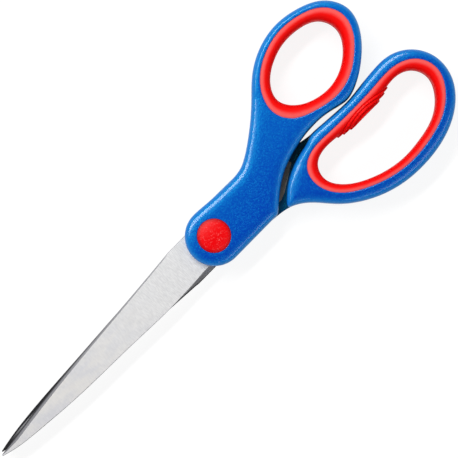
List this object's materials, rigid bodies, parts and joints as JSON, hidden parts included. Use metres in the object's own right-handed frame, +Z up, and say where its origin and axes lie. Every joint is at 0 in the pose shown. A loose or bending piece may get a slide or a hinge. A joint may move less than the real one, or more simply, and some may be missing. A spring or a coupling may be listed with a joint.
{
  "type": "office scissors",
  "caption": "Closed office scissors with steel blades on a rivet, plastic handles with a small thumb loop and a larger finger loop, and soft grips inside the loops",
  "frame": {"origin": "the foot of the pivot's axis, on the plane that the scissors lie on", "axes": "+Z up along the pivot's axis, blades towards -Y, handles towards +Y, thumb loop towards -X"},
  "size_m": [0.0589, 0.17, 0.0108],
  "materials": {
    "blade_steel": "stainless steel, ground across the blade to a fine brushed satin",
    "handle_plastic": "moulded plastic with a fine grain under a soft gloss",
    "grip_rubber": "soft rubber-like grip, satin",
    "rivet_steel": "plain bright steel, hidden under the caps",
    "cap_plastic": "moulded plastic with a fine spark texture"
  },
  "bodies": {
    "back_half": {"back_blade": "blade_steel", "finger_handle": "handle_plastic", "finger_grip": "grip_rubber", "back_pivot_cap": "cap_plastic", "pivot_rivet": "rivet_steel", "rivet_collar": "rivet_steel", "spring_washer": "rivet_steel"},
    "front_half": {"front_blade": "blade_steel", "thumb_handle": "handle_plastic", "thumb_grip": "grip_rubber", "front_pivot_cap": "cap_plastic"}
  },
  "joints": [
    {"name": "pivot", "type": "hinge", "parent": "back_half", "child": "front_half", "pos_m": [0, 0, 0.005], "axis": [0, 0, 1], "range_deg": [0, 90]}
  ]
}
